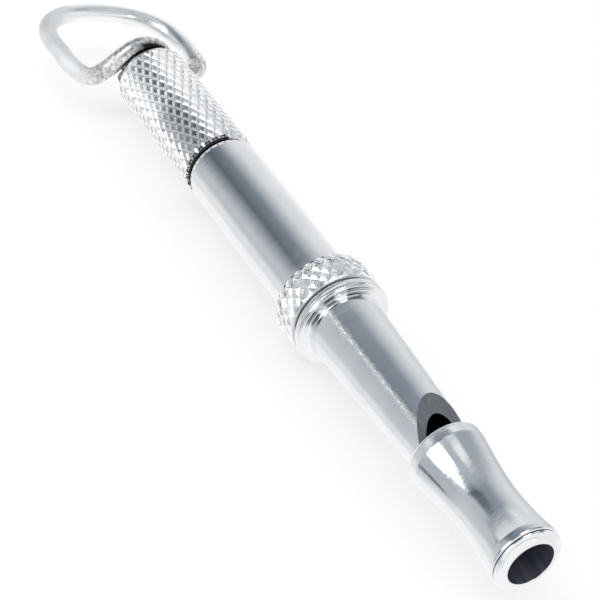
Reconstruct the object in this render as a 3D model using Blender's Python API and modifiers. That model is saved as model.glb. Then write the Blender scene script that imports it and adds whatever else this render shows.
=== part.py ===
# Ultrasonic dog whistle: a mouthpiece, a tapered sounding tube with a slanted window,
# a screw-in tuner with a knurled cap, a lock nut and a wire bail that swivels on a stud.
# Sizes are in metres. Stations are measured along the axis from the mouth face.
import math

import bmesh
import bpy
from mathutils import Vector

MM = 0.001

# Clearances
SEAT_GAP = 0.12 * MM
FIT_GAP = 0.10 * MM
RING_GAP = 0.30 * MM

# Mouthpiece
MOUTHPIECE_LENGTH = 15.5 * MM
MOUTH_BORE_RADIUS = 2.46 * MM
LIP_RADIUS = 3.62 * MM
LIP_WIDTH = 0.95 * MM
LIP_ROUND = 0.32 * MM
LIP_GROOVE_WIDTH = 0.20 * MM
LIP_GROOVE_DEPTH = 0.18 * MM
BEAD_RADIUS = 3.70 * MM
BEAD_WIDTH = 0.80 * MM
WAIST_RADIUS = 3.19 * MM
WAIST_STATION = 7.2 * MM
COLLAR_RADIUS = 3.95 * MM
COLLAR_ROUND = 0.40 * MM

# Sounding tube
TUBE_LENGTH = 19.4 * MM
TUBE_NEAR_RADIUS = 3.13 * MM
TUBE_FAR_RADIUS = 3.96 * MM
TUBE_BORE_RADIUS = 2.20 * MM
SPIGOT_RADIUS = 2.95 * MM
SPIGOT_LENGTH = 4.1 * MM
FLANGE_RADIUS = 5.25 * MM
FLANGE_THICKNESS = 1.0 * MM
FLANGE_ROUND = 0.35 * MM
FLANGE_FILLET = 1.1 * MM

# Window and windway
WINDOW_DEPTH = 2.45 * MM
WINDOW_SLOPE = math.radians(28.8)
WINDOW_WALL = 0.20 * MM
PLUG_LENGTH = 3.7 * MM
WINDWAY_HEIGHT = 0.55 * MM

# Tuning screw, right-hand thread
THREAD_RADIUS = 2.50 * MM
THREAD_DEPTH = 0.30 * MM
THREAD_PITCH = 0.80 * MM
TUNER_TRAVEL = 4.0 * MM
THREAD_KEPT_IN = 4.7 * MM
SHANK_LENGTH = 7.0 * MM
ROD_RADIUS = 1.50 * MM
PIN_RADIUS = 0.80 * MM
PIN_LENGTH = 1.2 * MM

# Piston and its seal
CAVITY_LENGTH = 5.6 * MM
PISTON_LENGTH = 2.4 * MM
SEAL_STATION = 0.9 * MM
SEAL_SECTION_RADIUS = 0.30 * MM

# Lock washer and lock nut
WASHER_RADIUS = 4.75 * MM
WASHER_THICKNESS = 0.30 * MM
NUT_RADIUS = 5.25 * MM
NUT_HEIGHT = 4.0 * MM
NUT_CHAMFER = 0.50 * MM
NUT_SHOULDER = 1.05 * MM
NUT_COUNTERBORE_DEPTH = 2.35 * MM
NUT_LIFT = 0.40 * MM

# Adjusting barrel and end cap
BARREL_RADIUS = 4.0 * MM
BARREL_LENGTH = 22.9 * MM
BARREL_CHAMFER = 0.15 * MM
BARREL_SPIGOT_RADIUS = 2.60 * MM
BARREL_SPIGOT_LENGTH = 4.5 * MM
BARREL_COLLAR_RADIUS = 3.45 * MM
GROOVE_WIDTH = 0.40 * MM
CAP_RADIUS = 4.0 * MM
CAP_LENGTH = 17.5 * MM
CAP_CHAMFER = 0.30 * MM

# Bail stud and wire bail
STUD_RADIUS = 1.05 * MM
STUD_DEPTH = 6.0 * MM
STUD_HEAD_RADIUS = 2.40 * MM
STUD_HEAD_THICKNESS = 0.7 * MM
WIRE_RADIUS = 1.0 * MM
RING_RADIUS = 3.20 * MM
LOOP_HALF_WIDTH = 8.45 * MM
LOOP_HALF_LENGTH = 6.9 * MM
LOOP_REACH = 13.1 * MM
LOOP_SQUARENESS = 2.3
TOP_TAIL_DEG = (22.0, 150.0)
UNDER_TAIL_DEG = (200.0, 315.0)

# Elbows from ring to loop: drop below the loop, inset from its side, reach past the ring
LEFT_ELBOW = (
    (0.35 * MM, 3.80 * MM, 0.0 * MM),
    (0.75 * MM, 2.15 * MM, -0.2 * MM),
    (0.45 * MM, 0.70 * MM, 1.2 * MM),
)
RIGHT_ELBOW = (
    (0.55 * MM, 1.85 * MM, 0.0 * MM),
    (0.15 * MM, 0.45 * MM, 0.6 * MM),
    (0.0 * MM, 0.0 * MM, 2.3 * MM),
)

# Facets round the axis
OUTER_STEPS = 36
INNER_STEPS = 24
THREAD_STEPS = 12

# Stations along the axis
COLLAR_FACE = MOUTHPIECE_LENGTH
SHOULDER = COLLAR_FACE + SEAT_GAP
SPIGOT_END = SHOULDER - SPIGOT_LENGTH
FLANGE_NEAR = COLLAR_FACE + TUBE_LENGTH
FLANGE_FAR = FLANGE_NEAR + FLANGE_THICKNESS
STEM_SOCKET_FLOOR = FLANGE_FAR - TUNER_TRAVEL - THREAD_KEPT_IN
WASHER_NEAR = FLANGE_FAR + SEAT_GAP
WASHER_FAR = WASHER_NEAR + WASHER_THICKNESS
NUT_NEAR = WASHER_FAR + SEAT_GAP
NUT_FAR = NUT_NEAR + NUT_HEIGHT
COUNTERBORE_FLOOR = NUT_FAR - NUT_COUNTERBORE_DEPTH
BARREL_NEAR = COUNTERBORE_FLOOR + NUT_LIFT + RING_GAP
BARREL_FAR = BARREL_NEAR + BARREL_LENGTH
CAP_NEAR = BARREL_FAR + GROOVE_WIDTH
CAP_FAR = CAP_NEAR + CAP_LENGTH
RING_STATION = CAP_FAR + RING_GAP + WIRE_RADIUS
HEAD_NEAR = RING_STATION + WIRE_RADIUS + RING_GAP
PLUG_FAR = SHOULDER
PISTON_NEAR = PLUG_FAR + CAVITY_LENGTH
PISTON_FAR = PISTON_NEAR + PISTON_LENGTH
THREAD_NEAR = STEM_SOCKET_FLOOR + RING_GAP
SHANK_NEAR = BARREL_NEAR + RING_GAP
SHANK_FAR = SHANK_NEAR + SHANK_LENGTH

# The ring is loose on the stud and hangs against one side of it
RING_SHIFT = RING_RADIUS - WIRE_RADIUS - STUD_RADIUS - RING_GAP
OVERALL_LENGTH = CAP_FAR + LOOP_REACH + WIRE_RADIUS
AXIS_HEIGHT = max(FLANGE_RADIUS, NUT_RADIUS)


def clear_scene():
    for old in list(bpy.data.objects):
        bpy.data.objects.remove(old, do_unlink=True)


def make_collection(name):
    group = bpy.data.collections.new(name)
    bpy.context.scene.collection.children.link(group)
    return group


def make_material(name, color, roughness, metallic):
    material = bpy.data.materials.new(name)
    material.use_nodes = True
    shader = material.node_tree.nodes["Principled BSDF"]
    shader.inputs["Base Color"].default_value = (*color, 1.0)
    shader.inputs["Roughness"].default_value = roughness
    shader.inputs["Metallic"].default_value = metallic
    material.diffuse_color = (*color, 1.0)
    return material


def add_object(name, data, group, parent, material=None):
    obj = bpy.data.objects.new(name, data)
    group.objects.link(obj)
    obj.parent = parent
    if material:
        data.materials.append(material)
    return obj


def arc(radius, station, size, start_deg, end_deg, count=3):
    """Points of a quarter round in the (radius, station) plane."""
    points = []
    for i in range(count + 1):
        angle = math.radians(start_deg + (end_deg - start_deg) * i / count)
        points.append((radius + size * math.cos(angle), station + size * math.sin(angle)))
    return points


def flare(near, far, power, count):
    """Radii that swell from the near point to the far point, end point included."""
    points = []
    for i in range(1, count + 1):
        share = i / count
        radius = near[0] + (far[0] - near[0]) * share**power
        points.append((radius, near[1] + (far[1] - near[1]) * share))
    return points


def turned(name, outer, inner, steps, group, parent, material=None):
    """A turned solid: its outer side and its bore, both listed from the mouth end."""
    outline = list(reversed(outer)) + (inner or [])
    mesh = bpy.data.meshes.new(name)
    edges = [(i, i + 1) for i in range(len(outline) - 1)]
    if inner:
        edges.append((len(outline) - 1, 0))
    mesh.from_pydata([(radius, 0.0, station) for radius, station in outline], edges, [])
    obj = add_object(name, mesh, group, parent, material)
    screw = obj.modifiers.new("Turn", "SCREW")
    screw.axis = "Z"
    screw.steps = steps
    screw.render_steps = steps
    screw.use_merge_vertices = True
    screw.merge_threshold = 0.000001
    screw.use_smooth_shade = True
    weld = obj.modifiers.new("Weld", "WELD")
    weld.merge_threshold = 0.000001
    return obj


def mesh_from_curve(curve, group):
    """Turns a curve object into a mesh object with welded caps, under the same name."""
    bpy.context.view_layer.update()
    depsgraph = bpy.context.evaluated_depsgraph_get()
    mesh = bpy.data.meshes.new_from_object(curve.evaluated_get(depsgraph))
    work = bmesh.new()
    work.from_mesh(mesh)
    bmesh.ops.remove_doubles(work, verts=work.verts, dist=0.000001)
    bmesh.ops.recalc_face_normals(work, faces=work.faces)
    work.to_mesh(mesh)
    work.free()
    name = curve.name
    parent = curve.parent
    matrix = curve.matrix_world.copy()
    bpy.data.objects.remove(curve, do_unlink=True)
    obj = add_object(name, mesh, group, parent)
    obj.matrix_world = matrix
    return obj


def as_cutter(obj):
    obj.hide_render = True
    obj.display_type = "WIRE"
    return obj


def boolean(obj, other, operation):
    step = obj.modifiers.new(operation.title(), "BOOLEAN")
    step.operation = operation
    step.solver = "EXACT"
    step.object = other


def block(name, low, high, group, parent):
    """A box cutter between two corners."""
    mesh = bpy.data.meshes.new(name)
    work = bmesh.new()
    bmesh.ops.create_cube(work, size=1.0)
    for vert in work.verts:
        for i in range(3):
            vert.co[i] = low[i] if vert.co[i] < 0 else high[i]
    work.to_mesh(mesh)
    work.free()
    return as_cutter(add_object(name, mesh, group, parent))


def tube_radius(station):
    share = (station - COLLAR_FACE) / TUBE_LENGTH
    return TUBE_NEAR_RADIUS + (TUBE_FAR_RADIUS - TUBE_NEAR_RADIUS) * share


clear_scene()
parts = make_collection("dog_whistle")
cutters = make_collection("cutters")

plate = make_material("plated_metal", (0.78, 0.80, 0.83), 0.10, 1.0)
knurl = make_material("knurled_plate", (0.70, 0.72, 0.75), 0.25, 1.0)
wire = make_material("plated_wire", (0.80, 0.81, 0.83), 0.18, 1.0)
brass = make_material("brass", (0.72, 0.56, 0.28), 0.30, 1.0)
rubber = make_material("rubber", (0.02, 0.02, 0.02), 0.80, 0.0)

# The axis empty sits at the mouth centre: its Z runs from the mouth to the bail, its X is up
axis = bpy.data.objects.new("whistle_axis", None)
parts.objects.link(axis)
axis.location = (OVERALL_LENGTH / 2, RING_SHIFT, AXIS_HEIGHT)
axis.rotation_euler = (0.0, -math.pi / 2, 0.0)

# Mouthpiece
groove_near = LIP_WIDTH
groove_far = groove_near + LIP_GROOVE_WIDTH
bead_far = groove_far + BEAD_WIDTH
lip_outer = arc(LIP_RADIUS - LIP_ROUND, LIP_ROUND, LIP_ROUND, -90, 0)
lip_outer += [
    (LIP_RADIUS, groove_near),
    (LIP_RADIUS - LIP_GROOVE_DEPTH, groove_near),
    (LIP_RADIUS - LIP_GROOVE_DEPTH, groove_far),
]
lip_outer += arc(BEAD_RADIUS - BEAD_WIDTH / 2, groove_far + BEAD_WIDTH / 2, BEAD_WIDTH / 2, -60, 40)
neck = flare((WAIST_RADIUS, WAIST_STATION), (lip_outer[-1][0], bead_far), 2.0, 4)
collar_near = MOUTHPIECE_LENGTH - COLLAR_ROUND
trumpet = [(WAIST_RADIUS, WAIST_STATION)]
trumpet += flare((WAIST_RADIUS, WAIST_STATION), (COLLAR_RADIUS, collar_near), 1.5, 6)
collar = arc(COLLAR_RADIUS - COLLAR_ROUND, collar_near, COLLAR_ROUND, 0, 90)[1:]
socket_radius = SPIGOT_RADIUS + FIT_GAP
socket_floor = SPIGOT_END - SEAT_GAP
turned(
    "mouthpiece",
    lip_outer + list(reversed(neck)) + trumpet + collar,
    [
        (MOUTH_BORE_RADIUS, 0.0),
        (MOUTH_BORE_RADIUS, socket_floor),
        (socket_radius, socket_floor),
        (socket_radius, MOUTHPIECE_LENGTH),
    ],
    OUTER_STEPS,
    parts,
    axis,
    plate,
)

# Sounding tube: a spigot in the mouthpiece, a cone, a fillet and a round-edged flange
fillet_near = FLANGE_NEAR - FLANGE_FILLET
fillet_radius = tube_radius(fillet_near)
stem_bore = THREAD_RADIUS + FIT_GAP
tube_outer = [
    (SPIGOT_RADIUS, SPIGOT_END),
    (SPIGOT_RADIUS, SHOULDER),
    (tube_radius(SHOULDER), SHOULDER),
]
tube_outer += arc(fillet_radius + FLANGE_FILLET, fillet_near, FLANGE_FILLET, 180, 90, 4)
tube_outer += arc(FLANGE_RADIUS - FLANGE_ROUND, FLANGE_NEAR + FLANGE_ROUND, FLANGE_ROUND, -90, 0, 3)
tube_outer += arc(FLANGE_RADIUS - FLANGE_ROUND, FLANGE_FAR - FLANGE_ROUND, FLANGE_ROUND, 0, 90, 3)
tube = turned(
    "body_tube",
    tube_outer,
    [
        (TUBE_BORE_RADIUS, SPIGOT_END),
        (TUBE_BORE_RADIUS, STEM_SOCKET_FLOOR),
        (stem_bore, STEM_SOCKET_FLOOR),
        (stem_bore, FLANGE_FAR),
    ],
    OUTER_STEPS,
    parts,
    axis,
    plate,
)

# The window is one slanted flat that opens the bore, with an upright wall at the collar
window_wall = SHOULDER + WINDOW_WALL
window_height = 2 * TUBE_FAR_RADIUS
window_floor = TUBE_NEAR_RADIUS - WINDOW_DEPTH
window_run = (1.5 * TUBE_FAR_RADIUS - window_floor) / math.tan(WINDOW_SLOPE)
window = block(
    "window_cutter",
    (window_floor, -2 * TUBE_FAR_RADIUS, window_wall),
    (window_height, 2 * TUBE_FAR_RADIUS, COLLAR_FACE + window_run),
    cutters,
    axis,
)
for vert in window.data.vertices:
    if vert.co.x < window_height / 2:
        vert.co.x = window_floor + (vert.co.z - COLLAR_FACE) * math.tan(WINDOW_SLOPE)
boolean(tube, window, "DIFFERENCE")

# Windway plug: a rod in the tube's mouth end with a flat along its top
plug_radius = TUBE_BORE_RADIUS - FIT_GAP
plug_near = PLUG_FAR - PLUG_LENGTH
plug = turned(
    "windway_plug",
    [(0.0, plug_near), (plug_radius, plug_near), (plug_radius, PLUG_FAR), (0.0, PLUG_FAR)],
    None,
    INNER_STEPS,
    parts,
    axis,
    brass,
)
windway = block(
    "windway_cutter",
    (TUBE_BORE_RADIUS - WINDWAY_HEIGHT, -2 * TUBE_BORE_RADIUS, plug_near - PLUG_LENGTH),
    (2 * TUBE_BORE_RADIUS, 2 * TUBE_BORE_RADIUS, PLUG_FAR + PLUG_LENGTH),
    cutters,
    axis,
)
boolean(plug, windway, "DIFFERENCE")

# Lock washer
turned(
    "lock_washer",
    [(WASHER_RADIUS, WASHER_NEAR), (WASHER_RADIUS, WASHER_FAR)],
    [(stem_bore, WASHER_NEAR), (stem_bore, WASHER_FAR)],
    OUTER_STEPS,
    parts,
    axis,
    plate,
)

# Lock nut: its top is counterbored so that it closes round the barrel's end
counterbore = BARREL_RADIUS + FIT_GAP
nut_outer = [(NUT_RADIUS - NUT_CHAMFER, NUT_NEAR), (NUT_RADIUS, NUT_NEAR + NUT_CHAMFER)]
nut_outer += arc(NUT_RADIUS - NUT_SHOULDER, NUT_FAR - NUT_SHOULDER, NUT_SHOULDER, 0, 90, 4)
turned(
    "lock_nut",
    nut_outer,
    [
        (stem_bore, NUT_NEAR),
        (stem_bore, COUNTERBORE_FLOOR),
        (counterbore, COUNTERBORE_FLOOR),
        (counterbore, NUT_FAR),
    ],
    OUTER_STEPS,
    parts,
    axis,
    knurl,
)

# Threaded stem: a turned core joined with a coiled ridge
core_radius = THREAD_RADIUS - THREAD_DEPTH
rod_near = PISTON_FAR + SEAT_GAP
stem = turned(
    "threaded_stem",
    [
        (0.0, rod_near - PIN_LENGTH),
        (PIN_RADIUS, rod_near - PIN_LENGTH),
        (PIN_RADIUS, rod_near),
        (ROD_RADIUS, rod_near),
        (ROD_RADIUS, THREAD_NEAR),
        (core_radius, THREAD_NEAR),
        (core_radius, SHANK_NEAR),
        (THREAD_RADIUS, SHANK_NEAR),
        (THREAD_RADIUS, SHANK_FAR),
        (0.0, SHANK_FAR),
    ],
    None,
    INNER_STEPS,
    parts,
    axis,
    brass,
)
ridge_half = THREAD_DEPTH + FIT_GAP / 5
ridge_near = THREAD_NEAR + THREAD_PITCH / 2
ridge_turns = (SHANK_NEAR - THREAD_NEAR) / THREAD_PITCH - 1
ridge_count = int(ridge_turns * THREAD_STEPS)
ridge_curve = bpy.data.curves.new("thread_ridge", "CURVE")
ridge_curve.dimensions = "3D"
ridge_curve.twist_mode = "Z_UP"
ridge_curve.bevel_depth = ridge_half
ridge_curve.bevel_resolution = 0
ridge_curve.use_fill_caps = True
ridge_line = ridge_curve.splines.new("POLY")
ridge_line.points.add(ridge_count)
for i, point in enumerate(ridge_line.points):
    angle = 2 * math.pi * i / THREAD_STEPS
    reach = THREAD_RADIUS - ridge_half
    rise = ridge_near + THREAD_PITCH * i / THREAD_STEPS
    point.co = (reach * math.cos(angle), reach * math.sin(angle), rise, 1.0)
ridge = mesh_from_curve(add_object("thread_ridge", ridge_curve, cutters, axis), cutters)
as_cutter(ridge)
boolean(stem, ridge, "UNION")

# Piston on the stem's pin, and the rubber ring in its groove
piston_radius = TUBE_BORE_RADIUS - FIT_GAP
seal_ring = piston_radius - SEAL_SECTION_RADIUS
seal_station = PISTON_NEAR + SEAL_STATION
groove_half = SEAL_SECTION_RADIUS + FIT_GAP
groove_floor = seal_ring - SEAL_SECTION_RADIUS - FIT_GAP
pin_hole = PIN_RADIUS + FIT_GAP
pin_floor = rod_near - PIN_LENGTH - SEAT_GAP
turned(
    "piston",
    [
        (0.0, PISTON_NEAR),
        (piston_radius, PISTON_NEAR),
        (piston_radius, seal_station - groove_half),
        (groove_floor, seal_station - groove_half),
        (groove_floor, seal_station + groove_half),
        (piston_radius, seal_station + groove_half),
        (piston_radius, PISTON_FAR),
        (pin_hole, PISTON_FAR),
        (pin_hole, pin_floor),
        (0.0, pin_floor),
    ],
    None,
    INNER_STEPS,
    parts,
    axis,
    brass,
)
bpy.ops.mesh.primitive_torus_add(
    major_segments=INNER_STEPS,
    minor_segments=8,
    major_radius=seal_ring,
    minor_radius=SEAL_SECTION_RADIUS,
)
seal = bpy.context.object
seal.name = "piston_seal"
seal.data.materials.append(rubber)
seal.data.shade_smooth()
for group in list(seal.users_collection):
    group.objects.unlink(seal)
parts.objects.link(seal)
seal.parent = axis
seal.location = (0.0, 0.0, seal_station)

# Adjusting barrel: a blind bore for the stem, and a spigot into the cap
shank_floor = SHANK_FAR + SEAT_GAP
spigot_far = BARREL_FAR + BARREL_SPIGOT_LENGTH
turned(
    "adjusting_barrel",
    [
        (0.0, shank_floor),
        (stem_bore, shank_floor),
        (stem_bore, BARREL_NEAR),
        (BARREL_RADIUS - BARREL_CHAMFER, BARREL_NEAR),
        (BARREL_RADIUS, BARREL_NEAR + BARREL_CHAMFER),
        (BARREL_RADIUS, BARREL_FAR - BARREL_CHAMFER),
        (BARREL_RADIUS - BARREL_CHAMFER, BARREL_FAR),
        (BARREL_COLLAR_RADIUS, BARREL_FAR),
        (BARREL_COLLAR_RADIUS, CAP_NEAR - SEAT_GAP),
        (BARREL_SPIGOT_RADIUS, CAP_NEAR - SEAT_GAP),
        (BARREL_SPIGOT_RADIUS, spigot_far),
        (0.0, spigot_far),
    ],
    None,
    OUTER_STEPS,
    parts,
    axis,
    plate,
)

# End cap: a socket for the barrel's spigot and a hole for the stud
cap_socket = BARREL_SPIGOT_RADIUS + FIT_GAP
cap_floor = spigot_far + SEAT_GAP
stud_hole = STUD_RADIUS + FIT_GAP
stud_near = CAP_FAR - STUD_DEPTH
stud_floor = stud_near - SEAT_GAP
turned(
    "end_cap",
    [
        (0.0, cap_floor),
        (cap_socket, cap_floor),
        (cap_socket, CAP_NEAR),
        (CAP_RADIUS - CAP_CHAMFER, CAP_NEAR),
        (CAP_RADIUS, CAP_NEAR + CAP_CHAMFER),
        (CAP_RADIUS, CAP_FAR - CAP_CHAMFER),
        (CAP_RADIUS - CAP_CHAMFER, CAP_FAR),
        (stud_hole, CAP_FAR),
        (stud_hole, stud_floor),
        (0.0, stud_floor),
    ],
    None,
    OUTER_STEPS,
    parts,
    axis,
    knurl,
)

# Bail stud: a shank in the cap, and a flat head that keeps the wire on
head_far = HEAD_NEAR + STUD_HEAD_THICKNESS
turned(
    "bail_stud",
    [
        (0.0, stud_near),
        (STUD_RADIUS, stud_near),
        (STUD_RADIUS, HEAD_NEAR),
        (STUD_HEAD_RADIUS, HEAD_NEAR),
        (STUD_HEAD_RADIUS, head_far),
        (0.0, head_far),
    ],
    None,
    INNER_STEPS,
    parts,
    axis,
    plate,
)


def tail(side, radius, span_deg):
    """One end of the wire: an arc round the stud, from its tip to its elbow."""
    steps = 4
    points = []
    for i in range(steps + 1):
        angle = math.radians(span_deg[0] + (span_deg[1] - span_deg[0]) * i / steps)
        points.append(
            Vector((radius * math.sin(angle), side + radius * math.cos(angle), RING_STATION))
        )
    return points


def elbow(sign, bends):
    """The bends between a tail and the loop, on the loop's left or right side."""
    points = []
    for drop, inset, reach in bends:
        points.append(Vector((-drop, sign * (LOOP_HALF_WIDTH - inset), RING_STATION + reach)))
    return points


def loop_point(degrees):
    """A point of the loop, an egg-shaped bend in the level plane."""
    angle = math.radians(degrees)
    power = 2 / LOOP_SQUARENESS
    side = math.copysign(abs(math.cos(angle)) ** power, math.cos(angle))
    along = math.copysign(abs(math.sin(angle)) ** power, math.sin(angle))
    centre = CAP_FAR + LOOP_REACH - LOOP_HALF_LENGTH
    return Vector((0.0, LOOP_HALF_WIDTH * side, centre + LOOP_HALF_LENGTH * along))


# The wire: a wide tail over the stud, the loop, and a close tail under the stud
under_radius = STUD_RADIUS + RING_GAP + WIRE_RADIUS
route = tail(0.0, RING_RADIUS, TOP_TAIL_DEG) + elbow(-1, LEFT_ELBOW)
for degrees in (192, 168, 146, 124, 106, 90, 74, 56, 34, 12):
    route.append(loop_point(degrees))
route += reversed(tail(RING_SHIFT, under_radius, UNDER_TAIL_DEG) + elbow(1, RIGHT_ELBOW))

bail_curve = bpy.data.curves.new("wire_bail", "CURVE")
bail_curve.dimensions = "3D"
bail_curve.bevel_depth = WIRE_RADIUS
bail_curve.bevel_resolution = 3
bail_curve.resolution_u = 4
bail_curve.use_fill_caps = True
bail_line = bail_curve.splines.new("BEZIER")
bail_line.bezier_points.add(len(route) - 1)
for knot, place in zip(bail_line.bezier_points, route):
    knot.co = place
    knot.handle_left_type = "AUTO"
    knot.handle_right_type = "AUTO"
bail = add_object("wire_bail", bail_curve, parts, axis, wire)
bail.location = (0.0, -RING_SHIFT, 0.0)
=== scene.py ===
import math

import bmesh
import bpy
from mathutils import Matrix, Vector


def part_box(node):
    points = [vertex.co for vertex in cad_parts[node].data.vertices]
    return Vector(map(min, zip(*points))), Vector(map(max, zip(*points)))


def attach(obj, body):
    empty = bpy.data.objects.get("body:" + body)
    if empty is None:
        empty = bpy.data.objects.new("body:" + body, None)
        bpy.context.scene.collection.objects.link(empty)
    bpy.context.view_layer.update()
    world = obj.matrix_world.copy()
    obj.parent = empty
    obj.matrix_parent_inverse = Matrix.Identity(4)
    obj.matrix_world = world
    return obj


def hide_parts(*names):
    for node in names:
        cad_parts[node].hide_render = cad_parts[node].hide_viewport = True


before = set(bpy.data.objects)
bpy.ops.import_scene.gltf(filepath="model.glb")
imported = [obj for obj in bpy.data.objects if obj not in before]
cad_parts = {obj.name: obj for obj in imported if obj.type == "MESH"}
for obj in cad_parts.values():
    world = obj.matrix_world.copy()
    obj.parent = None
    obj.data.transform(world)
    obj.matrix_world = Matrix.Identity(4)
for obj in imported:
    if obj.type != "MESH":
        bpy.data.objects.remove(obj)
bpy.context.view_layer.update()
mm = 0.001
hair = 0.01 * mm  # margin for telling faces apart by their place
print("frame loaded with", len(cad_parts), "nodes")

# The whistle lies along X with its mouth at the high end. Stations count from the mouth.
mouthLow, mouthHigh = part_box("mouthpiece")
mouthX = mouthHigh.x
axisY = (mouthLow.y + mouthHigh.y) / 2
axisZ = (mouthLow.z + mouthHigh.z) / 2


def nodeSizes(node):
    low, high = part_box(node)
    return mouthX - high.x, mouthX - low.x, (high.z - low.z) / 2  # near and far station, radius


def placed(station, radius=0.0, angle=0.0):
    return Vector((mouthX - station, axisY + radius * math.cos(angle), axisZ + radius * math.sin(angle)))


def inMm(**lengths):
    return {name: length * mm for name, length in lengths.items()}


def linkedObject(name, data):
    thing = bpy.data.objects.new(name, data)
    bpy.context.scene.collection.objects.link(thing)
    return thing


def aim(thing, place, across, back):
    turn = Matrix((across, back.cross(across), back)).transposed().to_4x4()
    thing.matrix_world = Matrix.Translation(place) @ turn


# Camera, set at the viewing angle of the photograph
view = {
    "eye": (0.159815, -0.13764, 0.13168),
    "right": (0.47108, 0.82349, 0.31616),
    "forward": (-0.63441, 0.56533, -0.52719),
    "lens": 144.0,
    "sensor": 36.0,
    "clip": (0.01, 20.0),
}


def addCamera():
    data = bpy.data.cameras.new("photoCamera")
    data.lens = view["lens"]
    data.sensor_width = view["sensor"]
    data.clip_start, data.clip_end = view["clip"]
    camera = linkedObject("photoCamera", data)
    aim(camera, view["eye"], Vector(view["right"]).normalized(), -Vector(view["forward"]).normalized())
    bpy.context.scene.camera = camera


addCamera()
print("camera set")


# Helpers for node trees
def feed(node, inputs):
    # a socket is linked to the input, anything else is set as its value
    for key, value in inputs.items():
        if isinstance(value, bpy.types.NodeSocket):
            node.id_data.links.new(value, node.inputs[key])
        else:
            node.inputs[key].default_value = value


def addNode(tree, kind, inputs=None, **settings):
    node = tree.nodes.new(kind)
    for key, value in settings.items():
        setattr(node, key, value)
    feed(node, inputs or {})
    return node


# A helper that is given no tree adds to the tree of its first socket
def mathNode(operation, *values):
    node = addNode(values[0].id_data, "ShaderNodeMath", dict(enumerate(values)), operation=operation)
    return node.outputs["Value"]


def times(product, *others):
    for other in others:
        product = mathNode("MULTIPLY", product, other)
    return product


# Helpers for materials
noiseSpan = (0.3, 0.7)  # where most of a noise lies
stainEdge = (0.35, 0.62)  # from stained to clean


def newFinish(name):
    finish = bpy.data.materials.new(name)
    finish.use_nodes = True
    tree = finish.node_tree
    return finish, tree, tree.nodes["Principled BSDF"]


def placeOnPiece(tree, **mapping):
    coords = addNode(tree, "ShaderNodeTexCoord").outputs["Object"]
    return addNode(tree, "ShaderNodeMapping", {"Vector": coords, **mapping}).outputs["Vector"]


def splitPlace(tree, **mapping):
    split = addNode(tree, "ShaderNodeSeparateXYZ", {"Vector": placeOnPiece(tree, **mapping)})
    return [split.outputs[way] for way in "XYZ"]


def axisCoords(tree):
    # place along the axis, distance from it and angle round it
    along, across, up = splitPlace(tree, Location=(0.0, -axisY, -axisZ))
    squares = mathNode("ADD", times(across, across), times(up, up))
    return along, mathNode("SQRT", squares), mathNode("ARCTAN2", up, across)


def addNoise(tree, size, detail, rough=0.55, scale=(1.0, 1.0, 1.0)):
    place = placeOnPiece(tree, Scale=scale)
    inputs = {"Vector": place, "Scale": size, "Detail": detail, "Roughness": rough}
    return addNode(tree, "ShaderNodeTexNoise", inputs).outputs["Fac"]


def addRamp(source, places, colours):
    ramp = addNode(source.id_data, "ShaderNodeValToRGB", {"Fac": source})
    bar = ramp.color_ramp.elements
    while len(bar) < len(places):
        bar.new(0.5)
    for stop, place, colour in zip(bar, places, colours):
        stop.position = place
        stop.color = (*colour, 1.0)
    return ramp.outputs["Color"]


def addRange(source, low, high, newLow=0.0, newHigh=1.0):
    inputs = dict(enumerate((source, low, high, newLow, newHigh)))
    return addNode(source.id_data, "ShaderNodeMapRange", inputs).outputs["Result"]


def angleRamp(angle, shares):
    # shares by degrees, over the upper half turn
    turn = addRange(angle, 0.0, math.pi)
    return addRamp(turn, [degrees / 180 for degrees in shares], [(share,) * 3 for share in shares.values()])


def addBump(height, distance, strength, **before):
    inputs = {"Height": height, "Distance": distance, "Strength": strength, **before}
    return addNode(height.id_data, "ShaderNodeBump", inputs).outputs["Normal"]


def mixColours(share, first, second):
    inputs = {"Factor": share, "A": first, "B": second}
    return addNode(share.id_data, "ShaderNodeMix", inputs, data_type="RGBA").outputs["Result"]


# Bright plate: fine lathe lines round the axis, soft stains and small pits
plateLook = {
    "clean": (0.89, 0.9, 0.915),
    "stained": (0.83, 0.845, 0.87),
    "gloss": (0.06, 0.12),
    "latheLines": (6000.0, 60.0, 60.0),
    "lineDepth": 0.000002,
    "lineStrength": 0.15,
    "stainSize": 260.0,
    "pitSize": 3200.0,
    "pitDepth": 0.00002,
    "pitStrength": 0.1,
}
wornLook = dict(plateLook, gloss=(0.07, 0.13), pitSize=3000.0, pitDepth=0.00005, pitStrength=0.07)
# the tube has a worn strip along one side, laid under the line of a highlight and darkened between its
# flecks as painted shade, and patches of painted shade, standing for dark reflections, in the corner before
# its flange
tubeLook = dict(
    wornLook,
    wornAngle=144.5,
    wornWidth=(3.0, 8.0),
    wornAndShadeColour=(0.66, 0.67, 0.69),
    fleckSize=3000.0,
    fleckStretch=(0.8, 1.0, 1.0),
    fleckRough=0.7,
    fleckEdge=(0.5, 0.55),
    fleckGloss=(0.34, 0.05),
    paintedShade=(0.085, 0.085, 0.095),
    paintedShadeAngles={
        64: 0.0, 80: 0.6, 106: 1.0, 110: 0.0,
        125: 0.0, 128: 0.8, 140: 0.8, 143: 0.0,
        153: 0.0, 157: 1.0, 172: 0.9, 180: 0.0,
    },
    paintedShadeReach=(3.97 * mm, 4.06 * mm, 4.86 * mm, 5.0 * mm),
    paintedShadeRings=5200.0,
    paintedShadeEdge=(0.4, 0.56),
    paintedShadeLeast=0.25,
    paintedShadeFrom=35.0 * mm,
)


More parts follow.
